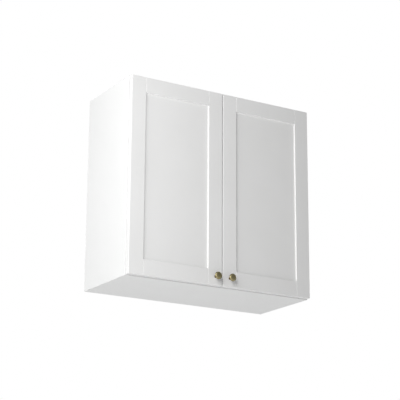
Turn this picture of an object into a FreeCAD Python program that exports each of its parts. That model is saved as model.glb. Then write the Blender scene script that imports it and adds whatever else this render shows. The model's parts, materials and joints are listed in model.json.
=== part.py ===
"""Hanging wall cabinet with two frame-and-panel doors.

Millimetres. X runs to the right, Y runs back to the wall and Z runs up.
The origin is on the wall plane, at the middle of the cabinet's underside.
Every piece of the left half is modelled once, and the right half mirrors it.
"""
import FreeCAD, Part
import os
import re
import Sketcher

FOLDER = "parts"

# Every size that can be set by itself: name, millimetres (or a count), meaning.
SIZES = (
    ("cabinet_width", 750, "outside, side to side"),
    ("cabinet_height", 720, "outside, underside to top"),
    ("carcass_depth", 310, "wall plane to the front edges of the boards"),
    ("board", 16, "thickness of sides, top, bottom and shelves"),
    ("board_arris", 0.8, "rounding of the sides' long edges"),
    ("groove_play", 1, "room at the end of any panel in its groove"),
    ("back_thick", 3, "back panel"),
    ("back_inset", 18, "wall plane to the rear face of the back panel"),
    ("back_groove", 8, "depth of the grooves that hold the back panel"),
    ("front_gap", 2.6, "carcass front to the rear face of a closed door"),
    ("edge_reveal", 2, "door edge inside the cabinet's outline"),
    ("centre_gap", 3, "between the two doors"),
    ("door_thick", 18, "stiles and rails"),
    ("frame_width", 57, "face width of stiles and rails"),
    ("panel_thick", 6, "door panel"),
    ("panel_recess", 5.5, "door front to the panel's front face"),
    ("door_groove", 10, "depth of the grooves that hold the door panel"),
    ("door_arris", 1.5, "rounding of the door's outer front edges"),
    ("joint_bevel", 0.8, "bevel on the frame's inner front edges and joints"),
    ("knob_inset", 28, "knob centre to the door's meeting edge"),
    ("knob_rise", 31, "knob centre above the door's bottom edge"),
    ("knob_width", 27, "head of the knob"),
    ("knob_reach", 26, "how far the knob stands out"),
    ("knob_face", 17, "flat front of the head"),
    ("knob_crown", 3, "head's rim to its flat front"),
    ("knob_head_thick", 3.5, "head's rim"),
    ("knob_taper", 6, "neck to the head's rim"),
    ("knob_flare", 1.5, "foot to the neck"),
    ("knob_foot_thick", 1.5, "foot on the door"),
    ("knob_foot", 9, "diameter where the knob meets the door"),
    ("knob_neck", 7, "diameter behind the head"),
    ("knob_round", 2.5, "rounding of the knob's head"),
    ("knob_screw", 4, "machine screw through the stile"),
    ("knob_screw_grip", 12, "how far the screw enters the knob"),
    ("knob_screw_head", 8, "head diameter"),
    ("bolt_play", 0.2, "a clearance hole over its screw, on the diameter"),
    ("bumper_width", 8, "soft bumper"),
    ("bumper_thick", 2.3, "soft bumper, less than the front gap"),
    ("bumper_inset", 20, "bumper centre to the door's meeting edge"),
    ("hinge_inset", 100, "hinge centre to the door's top or bottom edge"),
    ("pin_inward", 6.8, "hinge axis, from the door's outer edge"),
    ("pin_deep", 9.3, "hinge axis, from the door's rear face"),
    ("pin_width", 2, "hinge pin"),
    ("pin_fit", 0.1, "knuckle bore over the pin, on the diameter"),
    ("cup_inward", 20.5, "cup centre, from the door's outer edge"),
    ("cup_width", 35, "hinge cup"),
    ("cup_deep", 12.5, "hinge cup"),
    ("cup_wall", 0.8, "hinge cup"),
    ("cup_play", 0.3, "bore below and around the cup"),
    ("rim_width", 37, "flange of the cup"),
    ("rim_thick", 1.2, "flange of the cup"),
    ("ear_offset", 9.5, "cup screws, inward from the cup centre"),
    ("ear_spread", 45, "between the two cup screws"),
    ("ear_width", 12, "ears of the flange"),
    ("lug_gap", 10, "between the two lugs that carry the pin"),
    ("lug_thick", 3.5, "one lug"),
    ("lug_width", 4, "one lug, across the pin"),
    ("lug_behind", 1.5, "lug, from the pin's centre towards the cup's wall"),
    ("lug_cover", 0.8, "lug beyond the pin"),
    ("arm_thick", 2, "steel of the hinge arm"),
    ("arm_bend", 1.5, "rounding of the arm's bend"),
    ("arm_width", 9, "arm where it enters the cup"),
    ("arm_broad", 15, "arm over its plate"),
    ("knuckle_width", 4, "rolled end of the arm round the pin"),
    ("neck_drop", 0.2, "rear face of the arm's neck, behind the axis"),
    ("plate_height", 5.9, "mounting plate, from the side panel"),
    ("plate_setback", 37, "carcass front to the plate's screws"),
    ("plate_ahead", 19, "plate in front of its screws"),
    ("plate_behind", 25, "plate behind its screws"),
    ("plate_body", 13, "height of the plate's middle"),
    ("plate_arris", 0.8, "rounding of the plate's long edges"),
    ("wing_thick", 2.5, "wings of the plate"),
    ("wing_width", 12, "wings of the plate"),
    ("wing_span", 46, "wings of the plate, tip to tip"),
    ("plate_spread", 32, "between the plate's two screws"),
    ("wood_screw", 3.5, "screws of cups, plates and hangers"),
    ("wood_screw_deep", 12, "thread in the wood"),
    ("screw_head", 6.6, "head diameter"),
    ("screw_head_thick", 1.8, "head height"),
    ("cup_head_thick", 0.9, "head height of the cup screws"),
    ("slot_width", 1, "driver slot"),
    ("slot_deep", 0.8, "driver slot"),
    ("arm_screw", 4, "screws that hold the arm on its plate"),
    ("arm_screw_ahead", 9, "front arm screw, ahead of the plate's screws"),
    ("arm_screw_behind", 16, "rear arm screw, behind the plate's screws"),
    ("arm_screw_grip", 4, "arm screw in the plate"),
    ("shelf_setback", 20, "shelf behind the carcass front"),
    ("shelf_play", 1, "shelf to each side panel"),
    ("shelf_back_play", 2, "shelf to the back panel"),
    ("pin_row_front", 37, "carcass front to the front row of holes"),
    ("pin_row_spread", 192, "front row to rear row"),
    ("first_hole", 200, "height of the lowest pin hole"),
    ("hole_pitch", 32, "between pin holes"),
    ("hole_count", 11, "pin holes in a row"),
    ("lower_hole", 1, "holes below the lower shelf's pins"),
    ("upper_hole", 8, "holes below the upper shelf's pins"),
    ("peg", 5, "shelf pin"),
    ("peg_deep", 9, "shelf pin in the side panel"),
    ("peg_collar", 8, "collar of the shelf pin"),
    ("peg_collar_thick", 1.5, "collar of the shelf pin"),
    ("peg_rest_width", 6, "tongue under the shelf"),
    ("peg_rest_rise", 2, "tongue top above the pin's centre"),
    ("peg_rest_long", 9, "tongue, from the side panel"),
    ("hole_spare", 1, "a blind hole deeper than what it holds"),
    ("dowel", 8, "wooden dowel"),
    ("dowel_in_side", 11, "dowel in the side panel"),
    ("dowel_in_end", 19, "dowel in the top or bottom"),
    ("dowel_inset", 82, "dowel to the front or rear edge"),
    ("cam_width", 15, "cam housing"),
    ("cam_deep", 12.5, "cam housing"),
    ("cam_inset", 24, "cam centre to the end of its panel"),
    ("cam_edge", 50, "cam to the front or rear edge"),
    ("cam_slot", 2, "cross slot of the cam"),
    ("cam_slot_long", 9, "cross slot of the cam"),
    ("bolt_thread", 6, "cam bolt in the side panel"),
    ("bolt_thread_deep", 11, "cam bolt in the side panel"),
    ("bolt_collar", 7.6, "collar of the cam bolt"),
    ("bolt_collar_thick", 1.5, "collar of the cam bolt"),
    ("bolt_neck", 5, "neck of the cam bolt"),
    ("bolt_head", 7, "head of the cam bolt, in the cam"),
    ("bolt_head_thick", 3, "head of the cam bolt, in the cam"),
    ("bolt_bore", 8, "bore for the bolt in the panel's end"),
    ("hanger_width", 18, "hanger housing, out from the side panel"),
    ("hanger_deep", 46, "hanger housing, front to rear"),
    ("hanger_high", 62, "hanger housing"),
    ("hanger_drop", 12, "top panel to the housing"),
    ("hook_thick", 4, "steel hook"),
    ("hook_high", 18, "strip of the hook"),
    ("hook_from_side", 7, "side panel to the hook"),
    ("hook_from_top", 10, "housing top to the hook"),
    ("hook_inside", 34, "strip inside the housing"),
    ("hook_wall_gap", 5, "wall plane to the hook"),
    ("hook_claw", 12, "claw below the strip"),
    ("hook_play", 0.5, "slot round the hook, on all sides but the one it slides on"),
    ("window_margin", 5, "opening in the back panel round the hook"),
    ("adjuster", 7, "head of an adjusting screw"),
    ("adjuster_proud", 1.6, "adjusting screw out of the housing"),
    ("adjuster_deep", 10, "adjusting screw in the housing"),
    ("hanger_screw_low", 8, "housing's bottom to its lower screw"),
    ("cover_wall", 1.2, "wall of the hanger's cover"),
    ("cover_room", 2.4, "between the housing's front and its cover"),
)

# Lengths worked out from those.
WORKED_OUT = {
    "half_width": "cabinet_width / 2",
    "inner_width": "cabinet_width - 2 * board",
    "door_width": "(cabinet_width - 2 * edge_reveal - centre_gap) / 2",
    "door_height": "cabinet_height - 2 * edge_reveal",
    "door_rear": "-(carcass_depth + front_gap)",
    "door_front": "door_rear - door_thick",
    "rail_length": "door_width - 2 * frame_width",
    "tongue": "door_groove - groove_play",
    "back_tongue": "back_groove - groove_play",
    "back_front": "-(back_inset + back_thick)",
    "cup_from_pin": "cup_inward - pin_inward",
    "leg_start": "board - edge_reveal + plate_height - pin_inward",
    "pin_to_front": "pin_deep + front_gap",
    "screws_from_pin": "pin_to_front + plate_setback",
    "upper_hinge": "cabinet_height - edge_reveal - hinge_inset",
    "lower_hinge": "edge_reveal + hinge_inset",
    "board_middle": "board / 2",
    "pin_row_rear": "pin_row_front + pin_row_spread",
    "lower_pins": "first_hole + lower_hole * hole_pitch",
    "upper_pins": "first_hole + upper_hole * hole_pitch",
    "hanger_base": "cabinet_height - board - hanger_drop - hanger_high",
    "hook_base": "hanger_high - hook_from_top - hook_high",
    "hook_reach": "back_inset + back_thick - hook_wall_gap",
}

ALIASES = {name for name, _, _ in SIZES}
SAME = 1e-4  # two lengths closer than this are equal
PLANES = {"x": "YZ_Plane", "y": "XZ_Plane", "z": "XY_Plane"}

doc = FreeCAD.newDocument("WallCabinet")
sheet = doc.addObject("Spreadsheet::Sheet", "Sizes")
parts = []


# ---------------------------------------------------------------- the sheet
def fill_sheet():
    """Write each size as a plain number in column B, with its name as alias."""
    for row, (name, size, meaning) in enumerate(SIZES, start=1):
        sheet.set(f"A{row}", name)
        sheet.set(f"B{row}", str(size))
        sheet.set(f"C{row}", meaning)
        sheet.setAlias(f"B{row}", name)
    doc.recompute()


def formula(text):
    """Turn size names in a formula into references to the sheet."""
    def swap(match):
        word = match.group(0)
        if word in WORKED_OUT:
            return f"({formula(WORKED_OUT[word])})"
        return f"Sizes.{word}" if word in ALIASES else word
    return re.sub(r"[a-z_]{3,}", swap, text)


def number(text):
    """The present value of a formula."""
    return float(sheet.evalExpression(formula(text)))


def bind(thing, target, text):
    """Tie a property to a formula."""
    thing.setExpression(target, formula(text))


# ------------------------------------------------------------- sketch helpers
def hold_point(sketch, geometry, point, across, up):
    """Hold a point of a sketch at two distances from its origin."""
    for kind, text, axis in (("DistanceX", across, -2), ("DistanceY", up, -1)):
        if text == "0":
            sketch.addConstraint(Sketcher.Constraint("PointOnObject", geometry, point, axis))
            continue
        rule = Sketcher.Constraint(kind, -1, 1, geometry, point, number(text))
        place = sketch.addConstraint(rule)
        bind(sketch, f"Constraints[{place}]", text)


def outline(*points):
    """A closed outline of straight runs through points (across, up)."""
    def draw(sketch):
        first = sketch.GeometryCount
        spots = [FreeCAD.Vector(number(x), number(y), 0) for x, y in points]
        for start, end in zip(spots, spots[1:] + spots[:1]):
            sketch.addGeometry(Part.LineSegment(start, end), False)
        for step, (across, up) in enumerate(points):
            before = first + (step - 1) % len(points)
            corner = Sketcher.Constraint("Coincident", before, 2, first + step, 1)
            sketch.addConstraint(corner)
            hold_point(sketch, first + step, 1, across, up)
    return draw


def rectangle(left, low, right, high):
    """A rectangle between two opposite corners."""
    return outline((left, low), (right, low), (right, high), (left, high))


def circle(across, up, width):
    """A circle with its centre and diameter."""
    def draw(sketch):
        centre = FreeCAD.Vector(number(across), number(up), 0)
        ring = Part.Circle(centre, FreeCAD.Vector(0, 0, 1), number(width) / 2)
        index = sketch.addGeometry(ring, False)
        hold_point(sketch, index, 3, across, up)
        rule = sketch.addConstraint(Sketcher.Constraint("Diameter", index, number(width)))
        bind(sketch, f"Constraints[{rule}]", width)
    return draw


def new_sketch(body, name, axis, start, drawings):
    """A sketch square to an axis, at a distance along it."""
    sketch = body.newObject("Sketcher::SketchObject", f"{name}_outline")
    plane = next(item for item in body.Origin.OriginFeatures if item.Role == PLANES[axis])
    sketch.AttachmentSupport = [(plane, "")]
    sketch.MapMode = "FlatFace"
    for draw in drawings:
        draw(sketch)
    # The XZ plane's normal points to -Y, so its offset changes sign.
    if start != "0":
        bind(sketch, "AttachmentOffset.Base.z", f"-({start})" if axis == "y" else start)
    return sketch


# ------------------------------------------------------------ feature helpers
def new_body(name):
    """An empty body, listed as a finished piece under its own name."""
    body = doc.addObject("PartDesign::Body", name)
    body.Label = name
    parts.append(body)
    return body


def extrude(kind, body, name, axis, start, length, drawings):
    """Pad or pocket from start, over length, towards +axis."""
    sketch = new_sketch(body, name, axis, start, drawings)
    feature = body.newObject(f"PartDesign::{kind}", name)
    feature.Profile = sketch
    bind(feature, "Length", length)
    towards_normal = axis != "y"
    feature.Reversed = towards_normal if kind == "Pocket" else not towards_normal
    sketch.Visibility = False
    return feature


def add(body, name, axis, start, length, *drawings):
    """Add material between start and start + length along an axis."""
    return extrude("Pad", body, name, axis, start, length, drawings)


def cut(body, name, axis, start, length, *drawings):
    """Take material away between start and start + length along an axis."""
    return extrude("Pocket", body, name, axis, start, length, drawings)


def turn(body, name, *points):
    """Revolve an outline (radius, place along Y) about the body's Y axis."""
    sketch = new_sketch(body, name, "z", "0", [outline(*points)])
    feature = body.newObject("PartDesign::Revolution", name)
    feature.Profile = sketch
    feature.ReferenceAxis = (sketch, ["V_Axis"])
    feature.Angle = 360
    return feature


def soften(body, kind, name, size, wanted):
    """Fillet or chamfer the edges of a body that a test picks."""
    doc.recompute()
    base = body.Tip
    edges = [f"Edge{count}" for count, edge in enumerate(base.Shape.Edges, start=1)
             if wanted(edge.BoundBox)]
    feature = body.newObject(f"PartDesign::{kind}", name)
    feature.Base = (base, edges)
    bind(feature, "Radius" if kind == "Fillet" else "Size", size)
    return feature


def near(*pairs):
    """True where every pair of numbers agrees."""
    return all(abs(one - other) < SAME for one, other in pairs)


def place(thing, x="0", y="0", z="0"):
    """Put a piece where its three formulas say."""
    for letter, text in zip("xyz", (x, y, z)):
        bind(thing, f"Placement.Base.{letter}", text)
    return thing


def mirrored(source, name, finished=True):
    """The same piece on the cabinet's other half."""
    twin = doc.addObject("Part::Mirroring", name)
    twin.Label = name
    twin.Source = source
    twin.Normal = FreeCAD.Vector(1, 0, 0)
    twin.Base = FreeCAD.Vector(0, 0, 0)
    if finished:
        parts.append(twin)
    return twin


def both_halves(source, name):
    """One node that holds a left group of solids and its mirror image."""
    parts.remove(source)
    source.Label = f"{name}_left_half"
    twin = mirrored(source, f"{name}_right_half", finished=False)
    group = doc.addObject("Part::Compound", name)
    group.Label = name
    group.Links = [source, twin]
    parts.append(group)
    return group


# ------------------------------------------------------------------- carcass
def panel_bores(row):
    """Cam-bolt and dowel places on a joint, as (from the front, height)."""
    rear = "carcass_depth - "
    bolts = [("cam_edge", row), (rear + "cam_edge", row)]
    dowels = [("dowel_inset", row), (rear + "dowel_inset", row)]
    return bolts, dowels


def circles(places, width):
    """A circle of one width at each place."""
    return [circle(across, up, width) for across, up in places]


def make_side_panel():
    """The left side: a board drilled and grooved on its inner face."""
    body = new_body("side_panel_left")
    add(body, "Board", "x", "0", "board",
        rectangle("0", "0", "carcass_depth", "cabinet_height"))
    rear_face = "carcass_depth - back_inset"
    cut(body, "BackGroove", "x", "board - back_groove", "back_groove",
        rectangle(f"{rear_face} - back_thick", "board - back_groove",
                  rear_face, "cabinet_height - board + back_groove"))
    bolts, dowels = [], []
    for row in ("board_middle", "cabinet_height - board_middle"):
        row_bolts, row_dowels = panel_bores(row)
        bolts += row_bolts
        dowels += row_dowels
    drill_side(body, "BoltHoles", "bolt_thread_deep + hole_spare",
               circles(bolts, "bolt_thread + bolt_play"))
    drill_side(body, "DowelHoles", "dowel_in_side + hole_spare", circles(dowels, "dowel"))
    drill_side(body, "PlateScrewHoles", "wood_screw_deep + hole_spare",
               circles(plate_screw_places(), "wood_screw + bolt_play"))
    drill_side(body, "HangerScrewHoles", "wood_screw_deep + hole_spare",
               circles(hanger_screw_places(), "wood_screw + bolt_play"))
    rows = [("pin_row_front", "first_hole"), ("pin_row_rear", "first_hole")]
    first = drill_side(body, "PinHoles", "peg_deep + hole_spare",
                       circles(rows, "peg + bolt_play"))
    repeat = body.newObject("PartDesign::LinearPattern", "PinHoleRows")
    repeat.Originals = [first]
    repeat.Direction = (first.Profile[0], ["V_Axis"])
    bind(repeat, "Length", "hole_pitch * (hole_count - 1)")
    bind(repeat, "Occurrences", "hole_count")
    body.Tip = repeat
    width, depth, height = (number(size) for size in ("board", "carcass_depth", "cabinet_height"))
    soften(body, "Fillet", "LongEdges", "board_arris",
           lambda box: near((box.ZLength, height), (box.XMin, box.XMax), (box.YMin, box.YMax))
           and (near((box.XMin, 0)) or near((box.XMin, width)))
           and (near((box.YMin, 0)) or near((box.YMin, depth))))
    return place(body, "-half_width", "-carcass_depth")


def drill_side(body, name, depth, drawings):
    """Blind holes from the inner face of the side panel."""
    return cut(body, name, "x", f"board - ({depth})", depth, *drawings)


def plate_screw_places():
    """Hinge-plate screws on the side panel, as (from the front, height)."""
    half = "plate_spread / 2"
    return [("plate_setback", f"{hinge} {sign} {half}")
            for hinge in ("lower_hinge", "upper_hinge") for sign in "-+"]


def hanger_screw_places():
    """Hanger screws on the side panel, as (from the front, height)."""
    low = "hanger_base + hanger_screw_low"
    front = "carcass_depth + back_front - hanger_deep"
    return [(f"{front} + hanger_screw_low", low),
            (f"{front} + hanger_deep - hanger_screw_low", low)]


def make_cross_panel(name, height):
    """The top or the bottom: a board between the sides.

    The cams lie in its upper face, which is inside the cabinet on the bottom
    panel and out of sight on the top panel.
    """
    body = new_body(name)
    add(body, "Board", "z", "0", "board", rectangle("0", "0", "inner_width", "carcass_depth"))
    rear_face = "carcass_depth - back_inset"
    groove_start = "board - back_groove" if name == "bottom_panel" else "0"
    cut(body, "BackGroove", "z", groove_start, "back_groove",
        rectangle("0", f"{rear_face} - back_thick", "inner_width", rear_face))
    ends = ("cam_inset", "inner_width - cam_inset")
    edges = ("cam_edge", "carcass_depth - cam_edge")
    cams = [(end, edge) for end in ends for edge in edges]
    cut(body, "CamHoles", "z", "board - cam_deep", "cam_deep", *circles(cams, "cam_width"))
    bolts, dowels = panel_bores("board_middle")
    for side, bolt_start, dowel_start in (
            ("Left", "0", "0"),
            ("Right", "inner_width - cam_inset", "inner_width - dowel_in_end - hole_spare")):
        cut(body, f"{side}BoltBores", "x", bolt_start, "cam_inset", *circles(bolts, "bolt_bore"))
        cut(body, f"{side}DowelHoles", "x", dowel_start, "dowel_in_end + hole_spare",
            *circles(dowels, "dowel"))
    return place(body, "-half_width + board", "-carcass_depth", height)


def make_back_panel():
    """A thin sheet in the grooves, with a window for each hanger's hook."""
    body = new_body("back_panel")
    add(body, "Sheet", "y", "0", "back_thick",
        rectangle("0", "0", "inner_width + 2 * back_tongue",
                  "cabinet_height - 2 * board + 2 * back_tongue"))
    base = "hanger_base + hook_base - board + back_tongue"
    low = f"{base} - hook_claw - window_margin"
    high = f"{base} + hook_high + window_margin"
    near_side = "back_tongue + hook_from_side - window_margin"
    far_side = "back_tongue + hook_from_side + hook_thick + window_margin"
    whole = "inner_width + 2 * back_tongue"
    cut(body, "HookWindows", "y", "0", "back_thick",
        rectangle(near_side, low, far_side, high),
        rectangle(f"{whole} - ({far_side})", low, f"{whole} - ({near_side})", high))
    return place(body, "-half_width + board - back_tongue", "back_front", "board - back_tongue")


def make_shelf(name, pins):
    """A loose shelf that lies on four pins."""
    body = new_body(name)
    depth = "carcass_depth + back_front - shelf_setback - shelf_back_play"
    add(body, "Board", "z", "0", "board",
        rectangle("0", "0", "inner_width - 2 * shelf_play", depth))
    return place(body, "-half_width + board + shelf_play", "shelf_setback - carcass_depth",
                 f"{pins} + peg_rest_rise")


def make_shelf_pins():
    """Eight pins, four under each shelf: peg, collar and flat tongue."""
    body = new_body("shelf_pins")
    spots = [(row, pins) for row in ("pin_row_front", "pin_row_rear")
             for pins in ("lower_pins", "upper_pins")]
    add(body, "Pegs", "x", "-peg_deep", "peg_deep", *circles(spots, "peg"))
    add(body, "Collars", "x", "0", "peg_collar_thick",
        *[rectangle(f"{row} - peg_collar / 2", f"{pins} - peg_collar / 2",
                    f"{row} + peg_collar / 2", f"{pins} + peg_rest_rise")
          for row, pins in spots])
    add(body, "Tongues", "x", "0", "peg_rest_long",
        *[rectangle(f"{row} - peg_rest_width / 2", f"{pins} - peg_rest_rise",
                    f"{row} + peg_rest_width / 2", f"{pins} + peg_rest_rise")
          for row, pins in spots])
    place(body, "-half_width + board", "-carcass_depth")
    return both_halves(body, "shelf_pins")


def make_dowels():
    """Eight wooden dowels between the sides and the top and bottom."""
    body = new_body("dowels")
    spots = []
    for row in ("board_middle", "cabinet_height - board_middle"):
        spots += panel_bores(row)[1]
    add(body, "Sticks", "x", "-dowel_in_side", "dowel_in_side + dowel_in_end",
        *circles(spots, "dowel"))
    place(body, "-half_width + board", "-carcass_depth")
    return both_halves(body, "dowels")


def make_cams():
    """Eight cam housings, with a bore for the bolt and a cross slot on top."""
    body = new_body("cam_housings")
    spots = [("cam_inset", "cam_edge"), ("cam_inset", "carcass_depth - cam_edge")]
    for level, base in (("Lower", "board - cam_deep"), ("Upper", "cabinet_height - cam_deep")):
        add(body, f"{level}Cams", "z", base, "cam_deep", *circles(spots, "cam_width"))
    for level, row in (("Lower", "board_middle"), ("Upper", "cabinet_height - board_middle")):
        cut(body, f"{level}BoltBores", "x", "cam_inset - cam_width", "cam_width",
            *circles(panel_bores(row)[0], "bolt_bore"))
    for level, top in (("Lower", "board"), ("Upper", "cabinet_height")):
        for way in ("Along", "Across"):
            long, wide = "cam_slot_long / 2", "cam_slot / 2"
            if way == "Across":
                long, wide = wide, long
            cut(body, f"{level}Slots{way}", "z", f"{top} - cam_slot", "cam_slot",
                *[rectangle(f"{x} - {long}", f"{y} - {wide}", f"{x} + {long}", f"{y} + {wide}")
                  for x, y in spots])
    place(body, "-half_width + board", "-carcass_depth")
    return both_halves(body, "cam_housings")


def make_cam_bolts():
    """Eight bolts: thread in the side, collar, neck and a head in the cam."""
    body = new_body("cam_bolts")
    spots = []
    for row in ("board_middle", "cabinet_height - board_middle"):
        spots += panel_bores(row)[0]
    add(body, "Threads", "x", "-bolt_thread_deep", "bolt_thread_deep",
        *circles(spots, "bolt_thread"))
    add(body, "Collars", "x", "0", "bolt_collar_thick", *circles(spots, "bolt_collar"))
    add(body, "Necks", "x", "0", "cam_inset - bolt_head_thick", *circles(spots, "bolt_neck"))
    add(body, "Heads", "x", "cam_inset - bolt_head_thick", "bolt_head_thick",
        *circles(spots, "bolt_head"))
    place(body, "-half_width + board", "-carcass_depth")
    return both_halves(body, "cam_bolts")


# ------------------------------------------------------------------- hangers
def make_hanger_housing():
    """The left hanger's housing, with the slot that its hook moves in."""
    body = new_body("hanger_housing_left")
    add(body, "Block", "x", "0", "hanger_width",
        rectangle("-hanger_deep", "0", "0", "hanger_high"))
    cut(body, "HookSlot", "x", "hook_from_side", "hook_thick + hook_play",
        rectangle("-hook_inside - hook_play", "hook_base - hook_play",
                  "0", "hook_base + hook_high + hook_play"))
    spots = [("hanger_screw_low - hanger_deep", "hanger_screw_low"),
             ("-hanger_screw_low", "hanger_screw_low")]
    cut(body, "ScrewHoles", "x", "0", "hanger_width",
        *circles(spots, "wood_screw + bolt_play"))
    cut(body, "AdjusterHoles", "y", "-hanger_deep", "adjuster_deep",
        *circles(adjuster_places(), "adjuster"))
    return place(body, "-half_width + board", "back_front", "hanger_base")


def adjuster_places():
    """Height and depth adjusters on the housing's front, one over the other."""
    return [("hanger_width / 2", "hanger_high / 2"),
            ("hanger_width / 2", "hanger_high - adjuster - 2 * cover_wall")]


def make_hanger_hook():
    """A steel strip that leaves the housing at the rear and claws down."""
    body = new_body("hanger_hook_left")
    add(body, "Strip", "x", "hook_from_side", "hook_thick",
        outline(("-hook_inside", "hook_base"),
                ("hook_reach - hook_thick", "hook_base"),
                ("hook_reach - hook_thick", "hook_base - hook_claw"),
                ("hook_reach", "hook_base - hook_claw"),
                ("hook_reach", "hook_base + hook_high"),
                ("-hook_inside", "hook_base + hook_high")))
    return place(body, "-half_width + board", "back_front", "hanger_base")


def make_hanger_cover():
    """A thin cover over the housing, open towards the side and the back."""
    body = new_body("hanger_cover_left")
    room = "hanger_deep + cover_room"
    outside = f"({room} + cover_wall)"
    add(body, "Shell", "x", "0", "hanger_width + cover_room + cover_wall",
        rectangle(f"-{outside}", "-cover_wall", "0", "hanger_high + cover_wall"))
    cut(body, "Inside", "x", "0", "hanger_width + cover_room",
        rectangle(f"-({room})", "0", "0", "hanger_high"))
    front_y = number(f"-{outside}")
    wide = number("hanger_width + cover_room + cover_wall")
    soften(body, "Fillet", "CoverEdges", "cover_wall",
           lambda box: near((box.XMin, wide), (box.XMax, wide), (box.YMin, front_y),
                            (box.YMax, front_y)))
    return place(body, "-half_width + board", "back_front", "hanger_base")


def slotted_heads(body, name, start, places, width, thick):
    """Screw heads along +X with a driver slot, at places (Y, Z)."""
    add(body, f"{name}Heads", "x", start, thick, *circles(places, width))
    cut(body, f"{name}Slots", "x", f"{start} + {thick} - slot_deep", "slot_deep",
        *[rectangle(f"{y} - {width} / 2", f"{z} - slot_width / 2",
                    f"{y} + {width} / 2", f"{z} + slot_width / 2") for y, z in places])


def make_hanger_screws():
    """Wood screws through the housings into the sides."""
    body = new_body("hanger_screws")
    places = hanger_screw_places()
    add(body, "Threads", "x", "-wood_screw_deep", "wood_screw_deep + hanger_width",
        *circles(places, "wood_screw"))
    slotted_heads(body, "Screw", "hanger_width", places, "screw_head", "screw_head_thick")
    place(body, "-half_width + board", "-carcass_depth")
    return both_halves(body, "hanger_screws")


def make_hanger_adjusters():
    """Adjusting screws on the housings' fronts, for height and for depth."""
    body = new_body("hanger_adjusters")
    front = "-hanger_deep"
    add(body, "Adjusters", "y", f"{front} - adjuster_proud", "adjuster_deep + adjuster_proud",
        *circles(adjuster_places(), "adjuster"))
    cut(body, "AdjusterSlots", "y", f"{front} - adjuster_proud", "slot_deep",
        *[rectangle(f"{x} - adjuster / 2", f"{z} - slot_width / 2",
                    f"{x} + adjuster / 2", f"{z} + slot_width / 2")
          for x, z in adjuster_places()])
    place(body, "-half_width + board", "back_front", "hanger_base")
    return both_halves(body, "hanger_adjusters")


# -------------------------------------------------------------------- hinges
def make_hinge_plate(name, height):
    """A winged plate on the side panel that carries the hinge arm."""
    body = new_body(name)
    add(body, "Middle", "x", "0", "plate_height",
        rectangle("-plate_ahead", "-plate_body / 2", "plate_behind", "plate_body / 2"))
    add(body, "Wings", "x", "0", "wing_thick",
        rectangle("-wing_width / 2", "-wing_span / 2", "wing_width / 2", "wing_span / 2"))
    half = "plate_spread / 2"
    cut(body, "ScrewHoles", "x", "0", "wing_thick",
        *circles([("0", f"-{half}"), ("0", half)], "wood_screw + bolt_play"))
    cut(body, "ArmScrewHoles", "x", "plate_height - arm_screw_grip", "arm_screw_grip",
        *circles([("-arm_screw_ahead", "0"), ("arm_screw_behind", "0")],
                 "arm_screw + bolt_play"))
    length, top = number("plate_ahead + plate_behind"), number("plate_height")
    soften(body, "Fillet", "PlateEdges", "plate_arris",
           lambda box: near((box.XMin, top), (box.XMax, top), (box.YLength, length)))
    return place(body, "-half_width + board", "plate_setback - carcass_depth", height)


def make_hinge_arm(name, height):
    """A cranked steel arm, from its knuckle in the cup to its plate."""
    body = new_body(name)
    leg_end = "leg_start + arm_thick"
    neck_front = "neck_drop - arm_thick"
    rear = "screws_from_pin + plate_behind"
    front = "screws_from_pin - plate_ahead"
    add(body, "Strip", "z", "-arm_width / 2", "arm_width",
        outline(("0", neck_front), (leg_end, neck_front), (leg_end, rear),
                ("leg_start", rear), ("leg_start", "neck_drop"), ("0", "neck_drop")))
    add(body, "Knuckle", "z", "-arm_width / 2", "arm_width", circle("0", "0", "knuckle_width"))
    add(body, "Broad", "x", "leg_start", "arm_thick",
        rectangle(front, "-arm_broad / 2", rear, "arm_broad / 2"))
    cut(body, "Bore", "z", "-arm_width / 2", "arm_width", circle("0", "0", "pin_width + pin_fit"))
    cut(body, "ScrewHoles", "x", "leg_start", "arm_thick",
        *circles([("screws_from_pin - arm_screw_ahead", "0"),
                  ("screws_from_pin + arm_screw_behind", "0")], "arm_screw + bolt_play"))
    corner_x, corner_y = number(leg_end), number(neck_front)
    narrow, broad, thick = (number(size) for size in ("arm_width", "arm_broad", "arm_thick"))
    ends = (number(rear), number(front))
    soften(body, "Fillet", "Bend", "arm_bend",
           lambda box: near((box.ZLength, narrow), (box.XMin, corner_x), (box.XMax, corner_x),
                            (box.YMin, corner_y), (box.YMax, corner_y)))
    soften(body, "Fillet", "BroadCorners", "arm_thick",
           lambda box: near((box.XLength, thick), (box.YMin, box.YMax), (box.ZMin, box.ZMax),
                            (abs(box.ZMin), broad / 2))
           and any(near((box.YMin, end)) for end in ends))
    return place(body, "-half_width + edge_reveal + pin_inward", "door_rear - pin_deep", height)


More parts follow.
